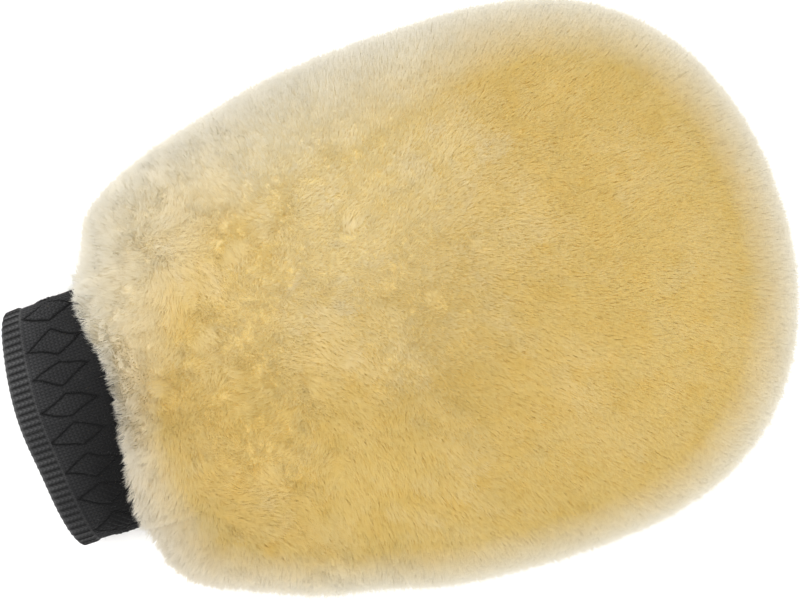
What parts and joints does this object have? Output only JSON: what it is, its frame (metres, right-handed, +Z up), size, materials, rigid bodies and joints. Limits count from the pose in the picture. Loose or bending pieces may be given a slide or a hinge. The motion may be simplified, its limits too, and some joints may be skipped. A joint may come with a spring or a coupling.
{
  "type": "wash mitt",
  "caption": "Plump sheepskin wash mitt, wool outside on both faces, tapering to a black knitted elastic cuff that closes round the wrist.",
  "frame": {"origin": "below the middle of the object's box, on the surface that the mitt lies on", "axes": "+X from the cuff to the fingertip end, +Y across the mitt, +Z up from the palm face to the back of the hand"},
  "size_m": [0.29, 0.2034, 0.053],
  "materials": {
    "wool": "dense soft natural sheepskin pile, creamy golden, paler at the tips round the edge",
    "suede": "matt napped suede, the flesh side of the sheepskin",
    "hide_thread": "cream bonded sewing thread",
    "cuff_rib": "charcoal ribbed knit, slightly fuzzy",
    "cuff_knit": "charcoal relief knit with a diamond pattern, slightly fuzzy",
    "cuff_lining": "plain charcoal knit",
    "elastic": "black woven elastic band",
    "cuff_thread": "black overlock thread"
  },
  "bodies": {
    "root": {"back_wool": "wool", "palm_wool": "wool", "back_hide": "suede", "palm_hide": "suede", "perimeter_seam": "hide_thread", "cuff_rib_welt": "cuff_rib", "cuff_outer_knit": "cuff_knit", "cuff_inner_knit": "cuff_lining", "cuff_elastic": "elastic", "cuff_side_seam": "cuff_thread", "cuff_join_seam": "cuff_thread"}
  },
  "joints": []
}
